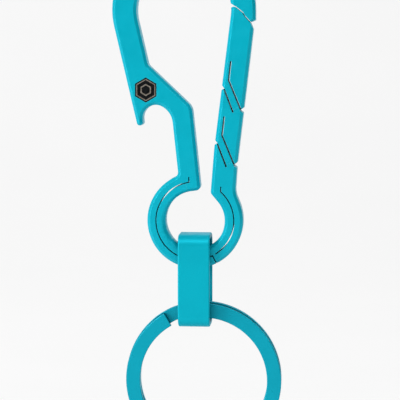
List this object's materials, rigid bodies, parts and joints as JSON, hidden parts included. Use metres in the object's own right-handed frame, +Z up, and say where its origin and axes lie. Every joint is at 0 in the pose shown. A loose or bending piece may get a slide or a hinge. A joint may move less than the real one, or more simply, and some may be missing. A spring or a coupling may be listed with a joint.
{
  "type": "carabiner keyring",
  "caption": "Flat carabiner with a sprung gate cut from its own plate, a bottle opener, a bent swivel link and a flat split ring for keys.",
  "frame": {"origin": "centre of the hook's arch, at the middle of the plate's thickness", "axes": "+Z up, away from the split ring, along the longest extent; +Y through the plate's thickness, towards its back; the front face, with the badge, looks along -Y; +X towards the gate"},
  "size_m": [0.0376, 0.0088, 0.116],
  "materials": {
    "coated_plate": "satin turquoise coating, lighter worn edges",
    "coated_link": "satin turquoise coating",
    "coated_ring": "satin turquoise coating",
    "badge_enamel": "black enamel fill",
    "badge_metal": "dull bare metal line"
  },
  "bodies": {
    "plate": {"carabiner_body": "coated_plate", "eye_spring": "coated_plate", "badge_field": "badge_enamel", "badge_rim": "badge_metal"},
    "gate_arm": {"gate_arm": "coated_plate", "lower_spring_strip": "coated_plate"},
    "gate_middle": {"gate_middle": "coated_plate", "upper_spring_strip": "coated_plate"},
    "gate_tip": {"gate_tip": "coated_plate"},
    "link": {"swivel_link": "coated_link"},
    "ring": {"split_ring": "coated_ring"}
  },
  "joints": [
    {"name": "gate_swing", "type": "hinge", "parent": "plate", "child": "gate_arm", "pos_m": [-0.0015, 0, -0.0479], "axis": [0, -1, 0], "range_deg": [0, 5], "stiffness_Nm_per_rad": 13.1, "deforming": ["eye_spring"]},
    {"name": "gate_flex_lower", "type": "hinge", "parent": "gate_arm", "child": "gate_middle", "pos_m": [0.0082, 0, -0.0285], "axis": [0, -1, 0], "range_deg": [0, 4], "deforming": ["lower_spring_strip"]},
    {"name": "gate_flex_upper", "type": "hinge", "parent": "gate_middle", "child": "gate_tip", "pos_m": [0.0098, 0, -0.0165], "axis": [0, -1, 0], "range_deg": [0, 2.25], "deforming": ["upper_spring_strip"]},
    {"name": "link_sway", "type": "hinge", "parent": "plate", "child": "link", "pos_m": [0.0025, 0, -0.0465], "axis": [0, -1, 0], "range_deg": [-100, 100]},
    {"name": "ring_swing", "type": "hinge", "parent": "link", "child": "ring", "pos_m": [0.0043, 0, -0.0664], "axis": [1, 0, 0], "range_deg": [-150, 150]}
  ],
  "couplings": [
    {"joint": "gate_flex_lower", "follows": "gate_swing", "ratio": 0.8},
    {"joint": "gate_flex_upper", "follows": "gate_swing", "ratio": 0.45}
  ]
}
